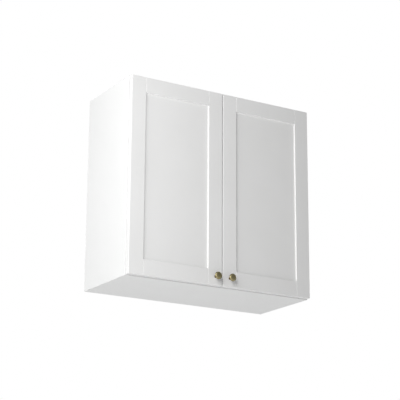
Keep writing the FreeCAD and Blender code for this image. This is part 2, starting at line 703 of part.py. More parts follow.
def make_hinge_cup(name, height):
    """A pressed cup with its flange, two ears and two lugs for the pin."""
    body = new_body(name)
    add(body, "Cup", "y", "-cup_deep", "cup_deep", circle("0", "0", "cup_width"))
    add(body, "Rim", "y", "0", "rim_thick", circle("0", "0", "rim_width"))
    ears = [("ear_offset", "-ear_spread / 2"), ("ear_offset", "ear_spread / 2")]
    half = "ear_width / 2"
    add(body, "EarBar", "y", "0", "rim_thick",
        rectangle(f"ear_offset - {half}", "-ear_spread / 2",
                  f"ear_offset + {half}", "ear_spread / 2"))
    add(body, "Ears", "y", "0", "rim_thick", *circles(ears, "ear_width"))
    floor = "cup_deep - cup_wall"
    cut(body, "Mouth", "y", f"-({floor})", f"{floor} + rim_thick",
        circle("0", "0", "cup_width - 2 * cup_wall"))
    cut(body, "ScrewHoles", "y", "0", "rim_thick", *circles(ears, "wood_screw + bolt_play"))
    near_side = "-cup_from_pin - lug_behind"
    far_side = f"{near_side} + lug_width"
    inner, outer = "lug_gap / 2", "(lug_gap / 2 + lug_thick)"
    root = "(cup_deep - cup_wall / 2)"
    add(body, "Lugs", "y", f"-{root}", f"{root} - pin_deep + pin_width / 2 + lug_cover",
        rectangle(near_side, inner, far_side, outer),
        rectangle(near_side, f"-{outer}", far_side, f"-{inner}"))
    cut(body, "PinBore", "z", f"-{outer}", f"2 * {outer}",
        circle("-cup_from_pin", "-pin_deep", "pin_width"))
    return place(body, "-half_width + edge_reveal + cup_inward", "door_rear", height)


def make_hinge_pins():
    """One pin in each of the door's two cups."""
    body = new_body("left_hinge_pins")
    length = "(lug_gap + 2 * lug_thick)"
    for level in ("lower_hinge", "upper_hinge"):
        add(body, f"{level}_pin", "z", f"{level} - {length} / 2", length,
            circle("0", "0", "pin_width"))
    return place(body, "-half_width + edge_reveal + pin_inward", "door_rear - pin_deep")


def make_plate_screws():
    """Wood screws that hold the hinge plates on both sides."""
    body = new_body("plate_screws")
    places = plate_screw_places()
    add(body, "Threads", "x", "-wood_screw_deep", "wood_screw_deep + wing_thick",
        *circles(places, "wood_screw"))
    slotted_heads(body, "Screw", "wing_thick", places, "screw_head", "screw_head_thick")
    place(body, "-half_width + board", "-carcass_depth")
    return both_halves(body, "plate_screws")


def make_arm_screws():
    """The screws that fix and adjust each arm on its plate."""
    body = new_body("arm_screws")
    places = [(f"plate_setback {sign}", hinge) for hinge in ("lower_hinge", "upper_hinge")
              for sign in ("- arm_screw_ahead", "+ arm_screw_behind")]
    add(body, "Threads", "x", "plate_height - arm_screw_grip", "arm_screw_grip + arm_thick",
        *circles(places, "arm_screw"))
    slotted_heads(body, "Screw", "plate_height + arm_thick", places,
                  "screw_head", "screw_head_thick")
    place(body, "-half_width + board", "-carcass_depth")
    return both_halves(body, "arm_screws")


# --------------------------------------------------------------------- doors
def soften_frame(body, arris, bevel):
    """Round the outer front edges and bevel the inner ones, by tests."""
    soften(body, "Chamfer", "JointBevels", "joint_bevel", bevel)
    soften(body, "Fillet", "Arris", "door_arris", arris)


def make_stile(name, at_hinge):
    """An upright of the door frame, full height, grooved for the panel."""
    body = new_body(name)
    add(body, "Bar", "z", "0", "door_height", rectangle("0", "0", "frame_width", "door_thick"))
    groove_left = "frame_width - door_groove" if at_hinge else "0"
    cut(body, "PanelGroove", "z", "0", "door_height",
        rectangle(groove_left, "panel_recess", f"{groove_left} + door_groove",
                  "panel_recess + panel_thick"))
    if at_hinge:
        drill_for_cups(body)
    else:
        across = "frame_width - knob_inset"
        cut(body, "KnobHole", "y", "0", "door_thick",
            circle(across, "knob_rise", "knob_screw + bolt_play"))
    inner_x = number("frame_width") if at_hinge else 0
    outer_x = number("frame_width") - inner_x
    height = number("door_height")
    soften_frame(
        body,
        lambda box: near((box.YMin, 0), (box.YMax, 0)) and (
            near((box.XMin, outer_x), (box.XMax, outer_x))
            or near((box.ZMin, 0), (box.ZMax, 0))
            or near((box.ZMin, height), (box.ZMax, height))),
        lambda box: near((box.YMin, 0), (box.YMax, 0), (box.XMin, inner_x),
                         (box.XMax, inner_x)))
    start = "-half_width + edge_reveal"
    across = start if at_hinge else f"{start} + door_width - frame_width"
    return place(body, across, "door_front", "edge_reveal")


def drill_for_cups(body):
    """Blind bores for the two cups and pilot holes for their screws."""
    depth = "cup_deep + cup_play"
    pilot = "wood_screw_deep + hole_spare"
    for level in ("hinge_inset", "door_height - hinge_inset"):
        tag = "Lower" if level == "hinge_inset" else "Upper"
        cut(body, f"{tag}CupBore", "y", f"door_thick - ({depth})", depth,
            circle("cup_inward", level, "cup_width + 2 * cup_play"))
        ears = [("cup_inward + ear_offset", f"{level} {sign} ear_spread / 2") for sign in "-+"]
        cut(body, f"{tag}CupScrewHoles", "y", f"door_thick - ({pilot})", pilot,
            *circles(ears, "wood_screw + bolt_play"))


def make_rail(name, at_top):
    """A crosspiece of the frame, with a tongue in each stile's groove."""
    body = new_body(name)
    add(body, "Bar", "x", "0", "rail_length", rectangle("0", "0", "door_thick", "frame_width"))
    add(body, "Tongues", "x", "-tongue", "rail_length + 2 * tongue",
        rectangle("panel_recess", "0", "panel_recess + panel_thick", "frame_width"))
    groove_low = "0" if at_top else "frame_width - door_groove"
    cut(body, "PanelGroove", "x", "-tongue", "rail_length + 2 * tongue",
        rectangle("panel_recess", groove_low, "panel_recess + panel_thick",
                  f"{groove_low} + door_groove"))
    length = number("rail_length")
    inner_z = 0 if at_top else number("frame_width")
    outer_z = number("frame_width") - inner_z
    soften_frame(
        body,
        lambda box: near((box.YMin, 0), (box.YMax, 0), (box.ZMin, outer_z),
                         (box.ZMax, outer_z)),
        lambda box: near((box.YMin, 0), (box.YMax, 0)) and (
            near((box.ZMin, inner_z), (box.ZMax, inner_z))
            or near((box.XMin, 0), (box.XMax, 0))
            or near((box.XMin, length), (box.XMax, length))))
    height = "door_height - frame_width + edge_reveal" if at_top else "edge_reveal"
    return place(body, "-half_width + edge_reveal + frame_width", "door_front", height)


def make_door_panel():
    """The flat panel that floats in the frame's grooves."""
    body = new_body("left_door_panel")
    add(body, "Sheet", "y", "0", "panel_thick",
        rectangle("0", "0", "rail_length + 2 * tongue",
                  "door_height - 2 * frame_width + 2 * tongue"))
    return place(body, "-half_width + edge_reveal + frame_width - tongue",
                 "door_front + panel_recess", "edge_reveal + frame_width - tongue")


def make_knob():
    """A turned knob: foot, waisted neck and a rounded flat head."""
    body = new_body("left_knob")
    foot, neck, head = "knob_foot / 2", "knob_neck / 2", "knob_width / 2"
    rim = "-(knob_reach - knob_crown)"
    turn(body, "Turned",
         ("0", "0"), (foot, "0"), (foot, "-knob_foot_thick"),
         (neck, "-(knob_foot_thick + knob_flare)"),
         (neck, f"{rim} + knob_head_thick + knob_taper"), (head, f"{rim} + knob_head_thick"),
         (head, rim), ("knob_face / 2", "-knob_reach"), ("0", "-knob_reach"))
    cut(body, "Thread", "y", "-(knob_screw_grip + hole_spare)", "knob_screw_grip + hole_spare",
        circle("0", "0", "knob_screw"))
    wide, rim_y = number("knob_width"), number(rim)
    soften(body, "Fillet", "HeadRound", "knob_round",
           lambda box: near((box.YMin, rim_y), (box.YMax, rim_y), (box.XLength, wide)))
    return place(body, "-half_width + edge_reveal + door_width - knob_inset", "door_front",
                 "edge_reveal + knob_rise")


def make_knob_screw():
    """The machine screw that holds the knob from inside the door."""
    body = new_body("left_knob_screw")
    add(body, "Thread", "y", "-knob_screw_grip", "knob_screw_grip + door_thick",
        circle("0", "0", "knob_screw"))
    add(body, "Head", "y", "door_thick", "screw_head_thick", circle("0", "0", "knob_screw_head"))
    cut(body, "Slot", "y", "door_thick + screw_head_thick - slot_deep", "slot_deep",
        rectangle("-knob_screw_head / 2", "-slot_width / 2",
                  "knob_screw_head / 2", "slot_width / 2"))
    return place(body, "-half_width + edge_reveal + door_width - knob_inset", "door_front",
                 "edge_reveal + knob_rise")


def make_cup_screws():
    """Four wood screws through the ears of the door's cups."""
    body = new_body("left_cup_screws")
    places = [("ear_offset", f"{level} {sign} ear_spread / 2")
              for level in ("lower_hinge", "upper_hinge") for sign in "-+"]
    add(body, "Threads", "y", "-wood_screw_deep", "wood_screw_deep + rim_thick",
        *circles(places, "wood_screw"))
    add(body, "Heads", "y", "rim_thick", "cup_head_thick", *circles(places, "screw_head"))
    return place(body, "-half_width + edge_reveal + cup_inward", "door_rear")


def make_bumpers():
    """Two soft bumpers that meet the front edges of the top and bottom."""
    body = new_body("left_bumpers")
    places = [("-bumper_inset", height)
              for height in ("board_middle", "cabinet_height - board_middle")]
    add(body, "Pads", "y", "0", "bumper_thick", *circles(places, "bumper_width"))
    return place(body, "-half_width + edge_reveal + door_width", "door_rear")


# ---------------------------------------------------------------- everything
def build():
    """Make every piece, the right-hand ones as mirror images."""
    fill_sheet()
    mirrored(make_side_panel(), "side_panel_right")
    make_cross_panel("bottom_panel", "0")
    make_cross_panel("top_panel", "cabinet_height - board")
    make_back_panel()
    make_shelf("lower_shelf", "lower_pins")
    make_shelf("upper_shelf", "upper_pins")
    make_shelf_pins()
    make_dowels()
    make_cams()
    make_cam_bolts()
    for make in (make_hanger_housing, make_hanger_hook, make_hanger_cover):
        left = make()
        mirrored(left, left.Label.replace("left", "right"))
    make_hanger_screws()
    make_hanger_adjusters()
    make_plate_screws()
    make_arm_screws()
    for level in ("lower", "upper"):
        for make, piece in ((make_hinge_plate, "plate"), (make_hinge_arm, "arm"),
                            (make_hinge_cup, "cup")):
            left = make(f"left_{level}_hinge_{piece}", f"{level}_hinge")
            mirrored(left, left.Label.replace("left", "right"))
    door = [make_stile("left_hinge_stile", True), make_stile("left_meeting_stile", False),
            make_rail("left_top_rail", True), make_rail("left_bottom_rail", False),
            make_door_panel(), make_hinge_pins(), make_cup_screws(), make_knob(),
            make_knob_screw(), make_bumpers()]
    for left in door:
        mirrored(left, left.Label.replace("left", "right"))
    doc.recompute()


def check():
    """Stop on any failed object, bad shape or cut that removed nothing."""
    for thing in doc.Objects:
        bad = {"Invalid", "Error"} & set(thing.State)
        if bad:
            raise RuntimeError(f"{thing.Name} is {bad}")
        if thing.TypeId in ("PartDesign::Pocket", "PartDesign::Pad") and thing.BaseFeature:
            change = thing.Shape.Volume - thing.BaseFeature.Shape.Volume
            if (change < 0) != (thing.TypeId == "PartDesign::Pocket"):
                raise RuntimeError(f"{thing.Name} changed its body by {change:.1f}")
    for part in parts:
        if part.Shape.isNull() or not part.Shape.isValid() or not part.Shape.Solids:
            raise RuntimeError(f"{part.Label} has no good shape")


def write():
    """Write one STEP file for each piece, named after it."""
    os.makedirs(FOLDER, exist_ok=True)
    for part in parts:
        part.Shape.exportStep(os.path.join(FOLDER, f"{part.Label}.step"))
        print(f"{part.Label}: {len(part.Shape.Solids)} solid(s), "
              f"{part.Shape.Volume / 1000:.2f} cm3")
    print(f"{len(parts)} nodes")


build()
check()
write()
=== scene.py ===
# %% [markdown]
# A hanging wall cabinet: a white box of boards that hangs on the wall, with two doors made of a frame
# and a flat panel. The boards, doors, hinges and screws arrive as a fixed frame of exact shapes, in
# metres, with X to the right, Y back to the wall and Z up. This file adds what the eye sees: the
# finishes, the turned and pressed fittings, the light and the camera.

# %% Load the frame
import json
import math

import bmesh
import bpy
from mathutils import Matrix, Vector


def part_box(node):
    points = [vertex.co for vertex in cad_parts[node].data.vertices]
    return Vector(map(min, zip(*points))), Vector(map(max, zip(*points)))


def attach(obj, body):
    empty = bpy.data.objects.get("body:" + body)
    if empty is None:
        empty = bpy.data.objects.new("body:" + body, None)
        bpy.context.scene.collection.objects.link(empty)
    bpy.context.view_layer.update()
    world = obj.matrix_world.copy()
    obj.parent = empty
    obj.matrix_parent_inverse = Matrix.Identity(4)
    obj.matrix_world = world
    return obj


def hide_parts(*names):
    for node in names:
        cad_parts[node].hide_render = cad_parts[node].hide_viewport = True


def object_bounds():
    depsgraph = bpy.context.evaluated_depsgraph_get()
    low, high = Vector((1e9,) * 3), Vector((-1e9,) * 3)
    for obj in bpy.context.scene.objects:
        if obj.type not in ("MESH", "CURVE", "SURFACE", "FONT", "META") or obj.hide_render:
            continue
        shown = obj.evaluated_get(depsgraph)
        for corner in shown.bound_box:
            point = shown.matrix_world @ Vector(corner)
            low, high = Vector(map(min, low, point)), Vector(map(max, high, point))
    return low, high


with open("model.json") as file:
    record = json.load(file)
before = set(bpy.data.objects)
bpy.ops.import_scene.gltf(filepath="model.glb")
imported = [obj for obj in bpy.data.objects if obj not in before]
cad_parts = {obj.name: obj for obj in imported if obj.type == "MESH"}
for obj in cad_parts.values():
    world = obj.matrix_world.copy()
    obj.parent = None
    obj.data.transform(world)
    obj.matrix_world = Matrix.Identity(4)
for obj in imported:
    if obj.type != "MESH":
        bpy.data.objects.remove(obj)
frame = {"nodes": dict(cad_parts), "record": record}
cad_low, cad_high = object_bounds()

MILLIMETRE = 0.001

scene = bpy.context.scene
cabinet_centre = (cad_low + cad_high) / 2
cabinet_size = cad_high - cad_low
print("cabinet", [round(side, 3) for side in cabinet_size], "nodes", len(frame["nodes"]))

# %% [markdown]
# The camera. A wall cabinet is seen by someone who stands below it and to its left, so the left side,
# the doors and the underside all show. A long lens from a few metres keeps the upright edges almost
# parallel, as they look from across a room. A wide lens close up would make the cabinet look like a
# tower. The camera is turned round its own line of sight by a fraction of a degree.

# %% Camera
VIEW_ROUND = math.radians(-30.74)
VIEW_UP = math.radians(-16.3)
VIEW_DISTANCE = 5.011
VIEW_ROLL = math.radians(-0.37)
VIEW_LENS = 123.2
VIEW_REACH = 200
AIM_OFFSET = Vector((-0.0015, 0.0031, -0.0057))


def add_camera():
    """A camera below and left of the cabinet, aimed at its centre."""
    away = Vector((math.sin(VIEW_ROUND) * math.cos(VIEW_UP),
                   -math.cos(VIEW_ROUND) * math.cos(VIEW_UP),
                   math.sin(VIEW_UP)))
    camera = bpy.data.objects.new("Camera", bpy.data.cameras.new("Camera"))
    camera.data.lens = VIEW_LENS
    camera.data.clip_end = VIEW_REACH
    camera.rotation_mode = "QUATERNION"
    turn = (-away).to_track_quat("-Z", "Y") @ Matrix.Rotation(-VIEW_ROLL, 3, "Z").to_quaternion()
    camera.rotation_quaternion = turn
    camera.location = cabinet_centre + AIM_OFFSET + away * VIEW_DISTANCE
    scene.collection.objects.link(camera)
    scene.camera = camera
    return camera


camera = add_camera()
print("camera at", [round(place, 2) for place in camera.location])

# %% [markdown]
# The surroundings. A plain pale room lights white furniture from everywhere at once, and that would
# wash the recessed panels flat. So the sky is plain white to the camera but weaker as a light. That
# takes one world with two backgrounds, and the ray itself tells which of them it needs.

# %% Sky
SKY_LIGHT = 0.07
SKY_SEEN = 1.0
WHITE = (1, 1, 1, 1)


def add_sky():
    """A plain white surrounding: bright to look at, softer as a light."""
    world = bpy.data.worlds.new("Sky")
    world.use_nodes = True
    tree = world.node_tree
    light = tree.nodes["Background"]
    light.inputs["Strength"].default_value = SKY_LIGHT
    seen = tree.nodes.new("ShaderNodeBackground")
    seen.inputs["Strength"].default_value = SKY_SEEN
    path = tree.nodes.new("ShaderNodeLightPath")
    choice = tree.nodes.new("ShaderNodeMixShader")
    for background in (light, seen):
        background.inputs["Color"].default_value = WHITE
    tree.links.new(path.outputs["Is Camera Ray"], choice.inputs["Fac"])
    tree.links.new(light.outputs[0], choice.inputs[1])
    tree.links.new(seen.outputs[0], choice.inputs[2])
    tree.links.new(choice.outputs[0], tree.nodes["World Output"].inputs["Surface"])
    scene.world = world
    scene.view_settings.view_transform = "Standard"


add_sky()
print("sky", SKY_LIGHT)

# %% [markdown]
# The lamps. White furniture shows its shape only through soft differences of grey. A large soft light
# stands to the left, so the left side is the brightest face and the doors fade from left to right. A
# tall narrow one nearer the front draws a thin shadow down the left edge of each recessed panel. The
# others are weak and keep the faces that look right, back, up and down from going black. Each lamp is
# a rectangle, because a small hard lamp would draw sharp shadows.

# %% Soft lights
SOFT_LIGHTS = {
    # name: (where from the cabinet's centre, width and height, watts)
    "KeyLeft": ((-2.6, -0.9, 0.3), (2.4, 2.4), 56),
    "NearLeft": ((-1.2, -1.5, 0.3), (0.3, 1.2), 14),
    "FillBelow": ((-0.6, -0.7, -1.3), (1.2, 1.2), 1.5),
    "FillRight": ((3.0, -1.2, 0.8), (2.0, 2.0), 3.5),
    "FillBehind": ((0.6, 3.0, 1.2), (2.4, 2.0), 28),
    "FillAbove": ((0.2, -0.4, 2.6), (2.4, 2.0), 8),
}


def add_soft_light(name, offset, size, watts):
    """A rectangular light that faces the cabinet's centre."""
    lamp = bpy.data.lights.new(name, "AREA")
    lamp.shape = "RECTANGLE"
    lamp.size, lamp.size_y = size
    lamp.energy = watts
    light = bpy.data.objects.new(name, lamp)
    light.location = cabinet_centre + Vector(offset)
    light.rotation_euler = (-Vector(offset)).to_track_quat("-Z", "Y").to_euler()
    scene.collection.objects.link(light)


for light_name, facts in SOFT_LIGHTS.items():
    add_soft_light(light_name, *facts)
print("lights", sorted(SOFT_LIGHTS))

# %% [markdown]
# A finish is a material with one shader. Its plain numbers sit on the shader's own sockets, and
# patterns drive only what varies over the surface: the colour, the gloss and the fine relief. These
# first helpers make the material and its nodes, so that a finish takes a few lines, not a few screens.

# %% A finish and its nodes
def new_finish(name, colour, roughness, metallic=0.0, **sockets):
    """A material whose plain values are set on its one shader."""
    finish = bpy.data.materials.new(name)
    finish.use_nodes = True
    shader = finish.node_tree.nodes["Principled BSDF"]
    shader.inputs["Base Color"].default_value = (*colour, 1)
    shader.inputs["Roughness"].default_value = roughness
    shader.inputs["Metallic"].default_value = metallic
    for socket, value in sockets.items():
        shader.inputs[socket.replace("_", " ")].default_value = value
    return finish


def connect(finish, value, node, socket):
    """Link an output to a socket, or set the socket's plain value."""
    if isinstance(value, bpy.types.NodeSocket):
        finish.node_tree.links.new(value, node.inputs[socket])
    else:
        node.inputs[socket].default_value = value


def add_node(finish, kind, **inputs):
    """A node with some inputs set or linked, by name."""
    node = finish.node_tree.nodes.new(kind)
    for socket, value in inputs.items():
        connect(finish, value, node, socket.replace("_", " "))
    return node


def drive(finish, socket, value):
    """Link a pattern to one socket of the finish's shader."""
    connect(finish, value, finish.node_tree.nodes["Principled BSDF"], socket)


print("finish helpers ready")

# %% [markdown]
# Patterns. Each one reads the piece's own coordinates in metres, so it keeps its real scale and moves
# with a door. Cloudy noise is for anything sprayed, pressed or worn. Crowded cells are for pebbled
# plastic and pressed chips. A stretch along one axis turns either into grain.

# %% Patterns
def own_place(finish, stretch=(1, 1, 1)):
    """The piece's own coordinates, stretched along its axes."""
    where = add_node(finish, "ShaderNodeTexCoord").outputs["Object"]
    return add_node(finish, "ShaderNodeMapping", Vector=where, Scale=stretch).outputs[0]


def own_axis(finish, axis, output="Object"):
    """One of the piece's own coordinates, or one part of its normal."""
    where = add_node(finish, "ShaderNodeTexCoord").outputs[output]
    return add_node(finish, "ShaderNodeSeparateXYZ", Vector=where).outputs[axis]


def noise(finish, scale, detail=2.0, stretch=(1, 1, 1), roughness=0.5):
    """Cloudy noise with this many features in a metre."""
    made = add_node(finish, "ShaderNodeTexNoise", Vector=own_place(finish, stretch),
                    Scale=scale, Detail=detail, Roughness=roughness)
    return made.outputs["Fac"]


def cells(finish, scale, output="Distance", stretch=(1, 1, 1)):
    """Crowded cells, as in pebbled plastic or pressed chips."""
    made = add_node(finish, "ShaderNodeTexVoronoi", Vector=own_place(finish, stretch), Scale=scale)
    return made.outputs[output]


print("patterns ready")

# %% [markdown]
# Using patterns. Noise stays near the middle of its range, so it is first spread over the numbers that
# a socket needs. Two shades blended by it give a colour that drifts. Relief bends the light by a
# stated height in metres, which is right for a texture too fine to be worth a mesh.

# %% Spread, shade and relief
def spread(finish, value, low, high, start=0.3, end=0.7):
    """Stretch a pattern's middle over a range of numbers."""
    made = add_node(finish, "ShaderNodeMapRange", Value=value, From_Min=start, From_Max=end,
                    To_Min=low, To_Max=high)
    return made.outputs[0]


def blend(finish, share, first, second):
    """Mix two colours by a pattern."""
    made = finish.node_tree.nodes.new("ShaderNodeMix")
    made.data_type = "RGBA"
    for socket, value in ((0, share), (6, first), (7, second)):
        if not isinstance(value, (bpy.types.NodeSocket, float)):
            value = (*value, 1)
        connect(finish, value, made, socket)
    return made.outputs[2]


def shade(finish, pattern, shades):
    """A colour that drifts between two shades with a pattern."""
    return blend(finish, spread(finish, pattern, 0.0, 1.0), *shades)


def arithmetic(finish, operation, first, second=0.0):
    """One sum on two numbers or patterns."""
    made = finish.node_tree.nodes.new("ShaderNodeMath")
    made.operation = operation
    for place, value in enumerate((first, second)):
        connect(finish, value, made, place)
    return made.outputs[0]


def relief(finish, height, depth, strength=1.0):
    """Fine relief: a pattern's full range stands this many metres high."""
    made = add_node(finish, "ShaderNodeBump", Height=height, Distance=depth, Strength=strength)
    drive(finish, "Normal", made.outputs[0])


print("shade and relief ready")

# %% [markdown]
# The floor is only a pale surface far below the cabinet. It isn't part of the object. A studio lights
# its floor with lamps of its own, so the floor is pale from any side and sends soft light up to the
# underside. Here a faint glow stands for those lamps, because real ones would have to be many to light
# a floor this large evenly.

# %% Floor
FLOOR_BELOW = 1.45
FLOOR_HALF = 30.0
FLOOR_GLOW = 0.36
FLOOR_SHADES = ((0.84, 0.84, 0.84), (0.88, 0.88, 0.88))


def floor_paint():
    """Pale matt paint with a faint cloudiness."""
    finish = new_finish("FloorPaint", (0.86, 0.86, 0.86), 0.7, Emission_Color=WHITE,
                        Emission_Strength=FLOOR_GLOW)
    drive(finish, "Base Color", shade(finish, noise(finish, 2.5, 4), FLOOR_SHADES))
    relief(finish, noise(finish, 90), 0.0005, 0.3)
    return finish


def add_floor():
    """A large pale floor, as far below as a kitchen floor is."""
    form = bmesh.new()
    bmesh.ops.create_grid(form, x_segments=8, y_segments=8, size=FLOOR_HALF)
    mesh = bpy.data.meshes.new("Floor")
    form.to_mesh(mesh)
    form.free()
    mesh.materials.append(floor_paint())
    floor = bpy.data.objects.new("Floor", mesh)
    floor.location = (0, 0, cad_low.z - FLOOR_BELOW)
    scene.collection.objects.link(floor)
    return floor


floor = add_floor()
print("floor at", round(floor.location.z, 2))

# %% [markdown]
# White lacquer on the doors. The frame and panel are fibreboard, sprayed and sanded, then sprayed
# again. The film is smooth but not glassy: it has a faint orange peel a millimetre or two across, and
# a cloudiness in the gloss where the spray overlapped. A flat white would be simpler, but then a
# highlight would run over the door as over printed paper.

# %% Door lacquer
LACQUER_SHADES = ((0.848, 0.848, 0.842), (0.868, 0.868, 0.864))


def door_lacquer():
    """Sprayed satin white with a faint orange peel."""
    finish = new_finish("DoorLacquer", (0.86, 0.86, 0.855), 0.38, Coat_Weight=0.12,
                        Coat_Roughness=0.25)
    drive(finish, "Base Color", shade(finish, noise(finish, 6.0, 3.0), LACQUER_SHADES))
    drive(finish, "Roughness", spread(finish, noise(finish, 14.0, 4.0), 0.33, 0.43))
    orange_peel = noise(finish, 520.0, 2.0)
    relief(finish, orange_peel, 0.00006, 0.35)
    return finish


lacquer = door_lacquer()
print(lacquer.name, len(lacquer.node_tree.nodes), "nodes")

# %% [markdown]
# The boards of the box are chipboard faced with white melamine. The foil is pressed on a steel plate
# with a fine pebble, so it is duller than lacquer. The front edges carry a glued strip, which shows as
# a hair-thin line just behind the edge. The rear edges go against the wall and stay bare, so there
# the pressed chips are seen: tan flakes of many shades. One finish does all three by where the surface
# lies, because on the real board they are one piece. The shelves are the same board, but their front
# edge lies further back, so the same recipe makes a second finish for them.

# %% Melamine board
CARCASS_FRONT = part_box("side_panel_left")[0].y
SHELF_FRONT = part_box("lower_shelf")[0].y
WALL_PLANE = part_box("side_panel_left")[1].y
STRIP_THICK = 0.8 * MILLIMETRE
GLUE_LINE = 0.12 * MILLIMETRE
FOIL_THICK = 0.25 * MILLIMETRE
FOIL_SHADES = ((0.842, 0.846, 0.842), (0.862, 0.866, 0.862))
GLUE_COLOUR = (0.60, 0.58, 0.54)
CHIPS_IN_A_METRE = 850.0
CHIP_SHADES = ((0.36, 0.24, 0.13), (0.62, 0.47, 0.29))
DUST_COLOUR = (0.48, 0.35, 0.21)


def chipboard_colour(finish):
    """Tan chips of mixed shades, for a bare edge."""
    chips = cells(finish, CHIPS_IN_A_METRE, "Color", (0.6, 1, 0.6))
    share = add_node(finish, "ShaderNodeSeparateColor", Color=chips).outputs[0]
    tan = blend(finish, share, *CHIP_SHADES)
    dust = spread(finish, noise(finish, 900.0, 3.0), 0.0, 0.6)
    return blend(finish, dust, tan, DUST_COLOUR)


def melamine_board(name, front):
    """White foil, with a glue line near the front edge and a bare rear edge."""
    finish = new_finish(name, (0.85, 0.855, 0.85), 0.5)
    foil = shade(finish, noise(finish, 3.5, 3.0), FOIL_SHADES)
    back = own_axis(finish, "Y")
    behind_line = arithmetic(finish, "SUBTRACT", back, front + STRIP_THICK)
    from_line = arithmetic(finish, "ABSOLUTE", behind_line)
    on_line = arithmetic(finish, "LESS_THAN", from_line, GLUE_LINE / 2)
    white = blend(finish, on_line, foil, GLUE_COLOUR)
    bare = arithmetic(finish, "GREATER_THAN", back, WALL_PLANE - FOIL_THICK)
    drive(finish, "Base Color", blend(finish, bare, white, chipboard_colour(finish)))
    drive(finish, "Roughness", spread(finish, noise(finish, 25.0, 4.0), 0.45, 0.56))
    pebble = arithmetic(finish, "ADD", cells(finish, 1500.0), noise(finish, 700.0))
    relief(finish, pebble, 0.00004, 0.4)
    return finish


board_foil = melamine_board("CarcassMelamine", CARCASS_FRONT)
shelf_foil = melamine_board("ShelfMelamine", SHELF_FRONT)
print(board_foil.name, "line at", round((CARCASS_FRONT + STRIP_THICK) * 1000, 2), "mm")

# %% [markdown]
# The back panel is thin hardboard. Its front is printed white to match the box, and its rear is bare:
# brown, with matted fibres and darker specks from the press. The two faces are told apart by which way
# they face, with the piece's own normal, so the finish needs no second material.

# %% Back panel
PRINTED_WHITE = (0.84, 0.84, 0.83)
FIBRE_SHADES = ((0.30, 0.195, 0.115), (0.44, 0.31, 0.195))
SPECK_COLOUR = (0.20, 0.13, 0.08)
SPECK_SIZE = 0.16
SPECK_STRENGTH = 0.45
DRIFT_COLOUR = (0.40, 0.27, 0.16)
FACES_THE_WALL = 0.5


def hardboard():
    """White foil towards the shelves, bare brown fibres towards the wall."""
    finish = new_finish("BackHardboard", PRINTED_WHITE, 0.55)
    rearward = own_axis(finish, "Y", "Normal")
    behind = arithmetic(finish, "GREATER_THAN", rearward, FACES_THE_WALL)
    brown = shade(finish, noise(finish, 260.0, 6.0, (1, 1, 0.35), 0.7), FIBRE_SHADES)
    specks = arithmetic(finish, "LESS_THAN", cells(finish, 160.0), SPECK_SIZE)
    brown = blend(finish, arithmetic(finish, "MULTIPLY", specks, SPECK_STRENGTH), brown,
                  SPECK_COLOUR)
    drift = spread(finish, noise(finish, 5.0, 3.0), 0.0, 0.35)
    brown = blend(finish, drift, brown, DRIFT_COLOUR)
    drive(finish, "Base Color", blend(finish, behind, PRINTED_WHITE, brown))
    drive(finish, "Roughness", spread(finish, noise(finish, 40.0), 0.5, 0.75))
    relief(finish, noise(finish, 420.0, 5.0, (1, 1, 0.5)), 0.00012, 0.5)
    return finish


back_board = hardboard()
print(back_board.name, len(back_board.node_tree.nodes), "nodes")

# %% [markdown]
# The knobs are brass, darkened in a bath and rubbed back, so the brown patina stays in the neck and
# the raised face shines a little. Brass has coloured reflections and no diffuse colour, so it is fully
# metallic. What decides between bright and dark is the distance from the door. The dark reaches past
# the neck over the rim of the head, and there it is painted shade, so the rim doesn't mirror the
# bright left lamp. A painted mask would do it too, but a formula follows the shape by itself.

# %% Aged brass with painted shade
# the dark end is patina in the neck and painted shade on the rim of the head
BRASS_PATINA_AND_SHADE_TO_RUBBED = ((0.15, 0.11, 0.055), (0.52, 0.46, 0.255))
PATINA_AND_SHADE_UNTIL = 20 * MILLIMETRE
FULLY_RUBBED_FROM = 26 * MILLIMETRE


def aged_brass():
    """Darkened brass: rubbed bright on the face, patina in the neck, painted shade on the head's rim.
    """
    finish = new_finish("AgedBrassPaintedShade", (0.33, 0.28, 0.15), 0.4, 1.0)
    # dark near the door: real patina in the neck, painted shade over the head's rim
    rubbed_and_unshaded = spread(finish, own_axis(finish, "Z"), 0.0, 1.0, PATINA_AND_SHADE_UNTIL, FULLY_RUBBED_FROM)
    patches = spread(finish, noise(finish, 240.0, 5.0), -0.25, 0.25)
    share = arithmetic(finish, "ADD", rubbed_and_unshaded, patches)
    share = spread(finish, share, 0.0, 1.0, 0.0, 1.0)
    drive(finish, "Base Color", blend(finish, share, *BRASS_PATINA_AND_SHADE_TO_RUBBED))
    drive(finish, "Roughness", spread(finish, noise(finish, 500.0, 4.0), 0.42, 0.56))
    turning_marks = noise(finish, 900.0, 2.0, (0.2, 0.2, 1.0))
    relief(finish, turning_marks, 0.00003, 0.5)
    return finish


brass = aged_brass()
print(brass.name, len(brass.node_tree.nodes), "nodes")

# %% [markdown]
# Steel and cast zinc. The hinges are pressed steel with a nickel plate, with fine lines from rolling.
# The screws and hooks are zinc-plated, which is greyer and has a faint blue and straw tint. The cams
# are cast zinc, dull and pitted. One recipe serves both platings, because only the tint, the gloss and
# the way the lines run differ.

# %% Plated steel and cast zinc
GLOSSIER, DULLER = 0.07, 0.09
CAST_SHADES = ((0.40, 0.40, 0.40), (0.56, 0.56, 0.55))


def plated(name, shades, gloss, lines, stretch):
    """Plated steel: a tint that drifts and fine lines from rolling."""
    finish = new_finish(name, shades[0], gloss, 1.0)
    drive(finish, "Base Color", shade(finish, noise(finish, 60.0, 4.0), shades))
    drive(finish, "Roughness", spread(finish, noise(finish, 180.0, 4.0, stretch),
                                      gloss - GLOSSIER, gloss + DULLER))
    relief(finish, noise(finish, lines, 3.0, stretch), 0.00002, 0.5)
    return finish


